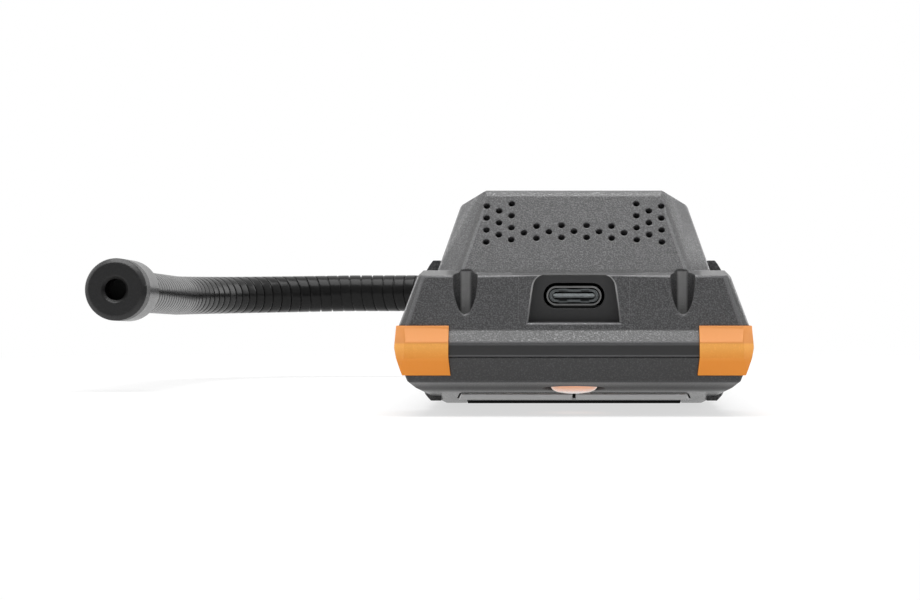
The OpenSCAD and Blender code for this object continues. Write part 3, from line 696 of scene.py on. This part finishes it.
# %% Back shell
def end_light_and_shade(finish, paint):
    """Lay the painted light and shade of the end and of the hump's corners over the paint."""
    places = end_places(finish)
    for tone in (well_painted_shade_and_light, brow_painted_light, ledge_painted_shade_and_light, facet_painted_shade, rim_painted_highlight):
        paint = tone(finish, paint, *places)
    return paint


back_finish = spark_texture("moulded_back", (0.061, 0.061, 0.063), plain=smooth_shaded_places, tint=end_light_and_shade,
                            edge_mm=0.3, edge_highlight=0.45, glint=1.0)
back_finish.dress(back_shell)
print("back shell finish:", len(back_finish.tree.nodes), "nodes")

# %% [markdown]
# ## The front shell's finish
# The front shell has the same texture in a darker grey. At the low angle of the camera its underside
# shows mostly reflections, so a darker colour would hardly change it there: the roughness does, duller
# in the hollow of the chin and smoother toward the keys. The sill in front of the lens is painted black,
# as painted shade in the recess where the lens sits.

# %% Front shell
LENS_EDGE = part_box("display_lens")[0].y / MM
SILL_DEEP, SILL_HALF, SILL_TOP = 2.6, 18.9, 2.0
CHIN_TOP = 4.9                                      # the underside lies below this
HOLLOW = (BUTT + 9, BUTT + 18)
KEY_FIELD = (BUTT + 17, BUTT + 25)


def lens_sill(finish):
    """1 on the sill just in front of the lens."""
    x, y, z = finish.axes()
    return (finish.between(y, LENS_EDGE - SILL_DEEP, LENS_EDGE + 1, 0.1) *
            finish.between(x, -SILL_HALF, SILL_HALF, 0.05) * finish.between(z, -1, SILL_TOP, 0.1))


def sill_painted_shade(finish, paint):
    """Paint the sill black, as painted shade."""
    return finish.blend(lens_sill(finish) * 0.95, paint, grey(0.003))


def smoother_face(finish):
    """The change of roughness from the dull hollow of the chin to the smooth field of the keys."""
    y, z = finish.axes()[1:]
    change = finish.between(y, *HOLLOW, 4) * 0.2 - finish.ramp(y, *KEY_FIELD) * 0.2
    return change * finish.between(z, -1, CHIN_TOP, 0.1) + lens_sill(finish) * 0.8


front_finish = spark_texture("moulded_front", (0.036, 0.036, 0.037), contrast=0.8, tint=sill_painted_shade,
                             edge_mm=0.3, edge_highlight=0.3, dull=smoother_face)
front_finish.dress(front_shell)
print("front shell finish:", len(front_finish.tree.nodes), "nodes")

# %% [markdown]
# ## Sensor head and fittings
# The cap, the barrel and the fittings of the neck are black mouldings with a finer, flatter grain. The
# inlet swallows the light. It could be left to the shadow alone, but the hole is short here, so its
# wall and chamfer get painted shade, black by their distance from the head's own axis.

# %% Head and fittings
INLET_REACH = 2.85      # from the axis to the outside of the chamfer
cap_middle, barrel_middle = (sum(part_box(n), Vector()) / 2 for n in ("sensor_cap", "sensor_barrel"))


def inlet_painted_shade(finish, paint):
    """Paint shade into the inlet and its chamfer, black by the distance from the axis of the head."""
    along = (cap_middle - barrel_middle).normalized()
    out = finish.node("ShaderNodeVectorMath", {"operation": "SUBTRACT"},
                      {0: finish.place(), 1: cap_middle.to_tuple()})
    side = finish.node("ShaderNodeVectorMath", {"operation": "CROSS_PRODUCT"},
                       {0: out, 1: along.to_tuple()})
    away = finish.node("ShaderNodeVectorMath", {"operation": "LENGTH"}, {0: side}, out="Value") * 1000
    return finish.blend(finish.between(away, -1, INLET_REACH, 0.1), paint, grey(0.001))


spark_texture("moulded_cap", (0.008, 0.008, 0.0085), strength=0.5, rough=0.46, contrast=1.0,
              tint=inlet_painted_shade).dress(cap)
spark_texture("moulded_head", (0.022, 0.022, 0.0225), strength=0.25, rough=0.27, contrast=0.6).dress(barrel)
spark_texture("fitting_black", (0.014, 0.014, 0.0145), strength=0.15, rough=0.36,
              contrast=0.4).dress(bush, ferrule)
print("head axis:", [round(v, 3) for v in (cap_middle - barrel_middle).normalized()])

# %% [markdown]
# ## Soft pieces: bumpers and grips
# The bumpers are a bright orange elastomer, even and dry. Painted light makes them paler on the facets
# that look up, and painted shade deeper in colour toward the face. Stronger lamps would lift the orange
# but bleach the rest, so a little emission of its own colour paints that light on. The grips are black
# rubber with a coarser, shallower grain.

# %% Bumper and grip finishes
BUMPER_SHADE_SPAN = (10.9, 8.5)        # painted shade deepens the orange from the first height down to the second
BUMPER_LIGHT_SPAN = (11.3, 11.6)        # and painted light pales it between these


def bumper_painted_light_and_shade(finish, paint):
    """Paint light on the upper facets, paler orange, and shade toward the lower edge, deeper orange."""
    z = finish.axes()[2]
    deep = finish.blend(finish.ramp(z, *BUMPER_SHADE_SPAN), paint, (0.6, 0.19, 0.008, 1))
    return finish.blend(finish.ramp(z, *BUMPER_LIGHT_SPAN), deep, (0.6, 0.235, 0.065, 1))


bumper_finish = spark_texture("orange_elastomer", (0.94, 0.345, 0.07), strength=0.05, rough=0.6,
                              contrast=0.1, tint=bumper_painted_light_and_shade)
# Painted light: a faint emission in the bumpers' own colour.
bumper_finish.feed("Emission Color", (0.8, 0.3, 0.05, 1))
bumper_finish.feed("Emission Strength", 0.2)
bumper_finish.dress(*bumpers)
spark_texture("grip_rubber", (0.075, 0.075, 0.076), grain_mm=0.4, strength=0.3, rough=0.42).dress(*grips)
print("soft pieces:", len(bumpers + grips))

# %% [markdown]
# ## Keys
# The keys are smooth glossy caps whose rounded edges catch the light. Many smooth pieces differ only in
# their two colours and their gloss, so one helper makes a finish that drifts between two colours, with
# noise in the roughness too. The keys add a painted highlight on their rounded edges, by the attribute
# that the bevel left.

# %% Mottled finish and keys
def mottled(name, dark, light, patches, gloss, edge=None, **plain):
    """A finish that drifts between two colours, with a painted highlight of the edge colour on the bevel's
    faces where one is given. gloss is the scale of the noise in the roughness, its swing and its least
    value."""
    finish = Finish(name, **plain)
    scale, swing, least = gloss
    paint = finish.blend(finish.noise(patches), dark, light)
    finish.feed("Base Color", finish.blend(finish.strip(), paint, edge) if edge else paint)
    finish.feed("Roughness", finish.noise(scale) * swing + least)
    return finish


# The keys' rounded edges get a painted highlight, pale grey.
mottled("key_gloss", grey(0.03), grey(0.045), 300, (700, 0.12, 0.26), edge=grey(0.85),
        Coat_Weight=0.3, Coat_Roughness=0.08).dress(*keys)
print("keys:", [key.name for key in keys])

# %% [markdown]
# ## Display lens
# The lens is a black plastic window with a hard clear coat. Its cut edge toward the keys is matt, and
# would show a bright reflection if it had the coat too, so a mask takes the coat off there and paints
# shade on it, darker still.

# %% Lens finish
lens_finish = Finish("lens_gloss", Coat_Roughness=0.03, IOR=1.5, Specular_IOR_Level=0.1)
# The cut edge: no coat, and painted shade.
shaded_cut_edge = lens_finish.between(lens_finish.axes()[1], LENS_EDGE - 1, LENS_EDGE + 0.1, 0.02)
shade = lens_finish.blend(lens_finish.noise(400), grey(0.004), grey(0.008))
lens_finish.feed("Base Color", lens_finish.blend(shaded_cut_edge, shade, grey(0.0005)))
lens_finish.feed("Roughness", lens_finish.noise(900) * 0.05 + 0.06 + shaded_cut_edge * 0.8)
lens_finish.feed("Coat Weight", 1 - shaded_cut_edge)
lens_finish.dress(lens)
print("lens edge at", round(LENS_EDGE, 1), "mm")

# %% [markdown]
# ## Power button
# The button is a clear orange dome, pale in the middle. A lamp inside real glass would be slow and
# noisy, so the glow is painted light: the colour of the emission goes from pale to orange with the
# distance from the button's middle, a painted highlight at its centre, under a clear coat.

# %% Button finish
PAINTED_GLOW = (5.2, 1.5)       # the painted highlight grows from the first distance in to the second
button_finish = mottled("button_amber", (0.85, 0.24, 0.04, 1), (0.95, 0.34, 0.08, 1), 500,
                        (900, 0.08, 0.2), Coat_Weight=1.0, Coat_Roughness=0.05)
lo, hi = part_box("power_button")
spot = (lo + hi) / 2 / MM
x, y = button_finish.axes()[:2]
away = ((x - spot.x) ** 2 + (y - spot.y) ** 2) ** 0.5
painted_glow = button_finish.ramp(away, *PAINTED_GLOW)
# Painted light: the emission, pale in the middle as a painted highlight.
button_finish.feed("Emission Color", button_finish.blend(painted_glow, (0.9, 0.4, 0.2, 1), (1.0, 0.86, 0.8, 1)))
button_finish.feed("Emission Strength", 0.5)
button_finish.dress("power_button")
print("button at", [round(v, 1) for v in spot])

# %% [markdown]
# ## The gooseneck's strip
# The strip is steel under a thin black paint: very dark, fairly smooth, with small lighter rubs. Bare
# metal would mirror the white studio over whole turns, so it is a dark plain surface with a low
# specular level, which lights up only along its sides.

# %% Gooseneck finish
neck_finish = Finish("black_strip", Specular_IOR_Level=0.15)
rub = neck_finish.noise(220, detail=4.0, roughness=0.65)
fine = neck_finish.noise(2600, detail=2.0)
neck_finish.feed("Base Color", neck_finish.blend(rub, grey(0.005), grey(0.013)))
neck_finish.feed("Roughness", rub * 0.12 + fine * 0.06 + 0.14)
neck_finish.feed("Normal", neck_finish.bump(fine, 0.08, 0.02 * MM))
neck_finish.dress(*neck_lengths)
print("neck lengths:", len(neck_lengths))

# %% [markdown]
# ## Steel pieces
# The screws, the nut and the sensor's can are drawn steel, with streaks along one way. Brushed metal
# could use an anisotropic shader, but stretched noise in colour and roughness is enough for such small
# pieces. The filter behind the inlet is a fine mesh, which a cell pattern suggests at that size.

# %% Steel and filter
STREAKS = (400, 3000, 400)
steel_finish = Finish("drawn_steel", Metallic=1.0)
streak = steel_finish.node("ShaderNodeMapping", None, {"Vector": steel_finish.place(), "Scale": STREAKS})
drawn = steel_finish.noise(1.0, detail=3.0, where=streak)
steel_finish.feed("Base Color", steel_finish.blend(drawn, grey(0.3), grey(0.42)))
steel_finish.feed("Roughness", drawn * 0.2 + 0.22)
steel_finish.dress("case_screws", "board_screws", "neck_nut", "sensor_can")

filter_finish = Finish("filter_mesh", Metallic=0.6)
weave = filter_finish.node("ShaderNodeTexVoronoi", None,
                           {"Vector": filter_finish.place(), "Scale": 3500.0})
filter_finish.feed("Base Color", filter_finish.blend(weave, grey(0.004), grey(0.02)))
filter_finish.feed("Roughness", weave * 0.3 + 0.5)
filter_finish.dress("sensor_filter")
print("steel finish:", len(steel_finish.tree.nodes), "nodes")

# %% [markdown]
# ## The port
# The port's shell is darker, plated steel, and its insert is dark plastic with a pale tongue down the
# middle. The tongue is part of the insert's solid, so a mask pales it by its place in the port.

# %% Port finishes
TONGUE_Z, TONGUE_HALF = (PORT_Z - 0.1, PORT_Z + 0.5), 3.4
mottled("port_steel", grey(0.16), grey(0.24), 900, (1500, 0.15, 0.25), Metallic=1.0).dress(port)
insert_finish = Finish("port_insert")
x, _, z = insert_finish.axes()
tongue = (insert_finish.between(z, *TONGUE_Z, 0.08) *
          insert_finish.between(x, -TONGUE_HALF, TONGUE_HALF, 0.05))
shade = insert_finish.blend(tongue, (0.13, 0.145, 0.15, 1), (0.42, 0.46, 0.47, 1))
insert_finish.feed("Base Color", insert_finish.blend(insert_finish.noise(900) * 0.4, shade, grey(0.02)))
insert_finish.feed("Roughness", insert_finish.noise(1500) * 0.15 + 0.35)
insert_finish.dress("usb_tongue")
print("port middle at", round(PORT_Z, 2), "mm")

# %% [markdown]
# ## Circuit boards
# The boards are green with a faint pattern of traces. Real traces could be cut as thin solids, but only
# the edge of one board shows, under the port, so a brick pattern stands in for them. That cut edge is
# painted dark, as shade in the gap under the port.

# %% Board finish
board_finish = Finish("board_mask")
traces = board_finish.node("ShaderNodeTexBrick", {"offset": 0.5},
                           {"Vector": board_finish.place(), "Color1": (0.012, 0.09, 0.03, 1),
                            "Color2": (0.016, 0.11, 0.04, 1), "Mortar": (0.03, 0.16, 0.06, 1),
                            "Scale": 220.0, "Mortar Size": 0.05})
board_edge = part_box("power_board")[0].y / MM
# Painted shade on the board's cut edge, in the gap under the port.
shaded_cut_edge = board_finish.between(board_finish.axes()[1], BUTT, board_edge + 0.1, 0.02)
board_finish.feed("Base Color", board_finish.blend(shaded_cut_edge, traces, grey(0.004)))
board_finish.feed("Roughness", board_finish.noise(800) * 0.15 + 0.3)
board_finish.dress("display_board", "power_board", "sensor_board")
print("board edge at", round(board_edge, 1), "mm")

# %% [markdown]
# ## Inner pieces
# The cell has a plastic sleeve, its contacts are brass, the display's panel is a greenish grey, and the
# rest is dull black plastic. The housing hides nearly all of it, so the mottled finish is enough here,
# and a closer look at the opened part still finds each piece in its own material.

# %% Inner finishes
mottled("dull_black", grey(0.012), grey(0.022), 500, (900, 0.15, 0.5)).dress(
    "key_switches", "board_header", "battery_holder", "sounder")
mottled("cell_sleeve", (0.03, 0.11, 0.2, 1), (0.04, 0.14, 0.26, 1), 120, (600, 0.1, 0.3),
        Coat_Weight=0.4, Coat_Roughness=0.1).dress("battery_cell")
mottled("brass_leaf", (0.55, 0.42, 0.2, 1), (0.68, 0.54, 0.28, 1), 700, (900, 0.15, 0.25),
        Metallic=1.0).dress("battery_contacts")
mottled("display_panel", (0.16, 0.19, 0.16, 1), (0.2, 0.23, 0.2, 1), 200,
        (700, 0.1, 0.25)).dress("display_module")
print("finishes:", len(bpy.data.materials))

# %% [markdown]
# ## Floor
# The instrument lies on a white sweep that runs out of sight. A curved back wall could be modelled, but
# one large plane is enough at this low angle. For what the camera and the reflections see, the plane
# gives off white itself, fully in the distance and less so near the object, where its plain surface
# keeps the soft shadow. The light that falls on the object isn't raised by it.

# %% Floor
FLOOR_DROP = 0.0003             # metres under the face, so that the two don't touch
SHADOW_MIDDLE_Y = -30
SHADOW_NEAR, SHADOW_FAR = 120.0, 420.0
bpy.ops.object.select_all(action="DESELECT")
bpy.ops.mesh.primitive_plane_add(size=8, location=(0, 0, -FLOOR_DROP))
floor = bpy.context.active_object
floor.name = "floor"
floor_finish = Finish("floor_white", Roughness=0.9)
floor_finish.feed("Base Color", floor_finish.blend(floor_finish.noise(3), grey(0.84), grey(0.88)))
x, y = floor_finish.axes()[:2]
away = (x * x + (y - SHADOW_MIDDLE_Y) ** 2) ** 0.5
far = floor_finish.ramp(away, SHADOW_NEAR, SHADOW_FAR, low=0.65, shape="SMOOTHSTEP")
white = floor_finish.node("ShaderNodeEmission", None, {"Color": grey(1.0), "Strength": 1.0})
plain = Value(floor_finish, floor_finish.shader.outputs[0])
mixed = floor_finish.node("ShaderNodeMixShader", None, {0: floor_finish.seen() * far, 1: plain, 2: white})
floor_finish.fill(floor_finish.tree.nodes["Material Output"].inputs["Surface"], mixed)
floor_finish.dress(floor)
print("floor:", [round(v, 2) for v in floor.dimensions])

# %% [markdown]
# ## Lamps
# The light is a product studio's: one wide soft box overhead, and two behind that give the sides their
# light rims. Little light comes from the camera's side, so faces that look at the camera are dark and
# those that lean back get lighter the more they lean. Point lamps would be simpler, but their shadows
# are hard and their reflections are dots.

# %% Lamps
def soft_box(name, place, aim, size, power):
    """A rectangular lamp at a place, aimed at a point; metres and watts."""
    data = bpy.data.lights.new(name, "AREA")
    data.shape = "RECTANGLE"
    data.size, data.size_y = size
    data.energy = power
    lamp = bpy.data.objects.new(name, data)
    bpy.context.scene.collection.objects.link(lamp)
    lamp.location = place
    lamp.rotation_euler = (Vector(aim) - Vector(place)).to_track_quat("-Z", "Y").to_euler()


soft_box("overhead", (0, -0.08, 0.85), (0, -0.08, 0), (1.0, 0.7), 11.0)
soft_box("back_left", (-0.9, 0.7, 0.45), (-0.05, 0, 0.02), (0.7, 0.7), 3.5)
soft_box("back_right", (0.9, 0.7, 0.45), (0, -0.05, 0.02), (0.7, 0.7), 3.5)

# %% [markdown]
# ## World
# The room is white for what the camera and the reflections see, darker on the side that the camera
# stands on, and dim as a light, so that the lamps shape the object. A picture of a real studio could
# give the same, but a slope along one direction does it without a file.

# %% World
FILL_LIGHT = 0.3                        # the room's strength as a light, and its darkest reflection
DARK_SIDE = (-0.75, -0.1)               # how far round the camera's side the room is darker
world = bpy.data.worlds.new("studio")
bpy.context.scene.world = world
world.use_nodes = True
room = Wiring(world.node_tree)
direction = room.node("ShaderNodeTexCoord", out="Generated")
along = room.node("ShaderNodeSeparateXYZ", None, {"Vector": direction}, out="Y")
shown = room.ramp(along, *DARK_SIDE, low=FILL_LIGHT)
level = room.node("ShaderNodeMix", {"data_type": "FLOAT"}, {0: room.seen(), 2: FILL_LIGHT, 3: shown})
background = world.node_tree.nodes["Background"]
room.fill(background.inputs["Color"], grey(1.0))
room.fill(background.inputs["Strength"], level)
bpy.context.scene.view_settings.view_transform = "Standard"
print("world nodes:", len(world.node_tree.nodes))

# %% [markdown]
# ## Camera
# The camera stands level with the lower half of the butt, with a long lens, and looks straight along the
# body. The gooseneck is far to one side. The camera could be turned toward it, but then the body's
# upright lines would lean, so the picture is shifted sideways instead.

# %% Camera
PICTURE_PX, FOCAL_PX, SHIFT_PX = 920, 2688, 114     # the picture's width, focal length and shift
SENSOR_MM = 36
CAMERA_BACK, CAMERA_UP = 0.432, 0.01845             # metres behind the butt and above the face
camera_data = bpy.data.cameras.new("camera")
camera = bpy.data.objects.new("camera", camera_data)
bpy.context.scene.collection.objects.link(camera)
bpy.context.scene.camera = camera
camera.location = (0, BUTT_Y - CAMERA_BACK, CAMERA_UP)
camera.rotation_euler = (math.radians(90), 0, 0)
camera_data.sensor_width = SENSOR_MM
camera_data.lens = SENSOR_MM * FOCAL_PX / PICTURE_PX
camera_data.shift_x = -SHIFT_PX / PICTURE_PX
camera_data.clip_start, camera_data.clip_end = 0.01, 20
print("lens:", round(camera_data.lens, 1), "mm")
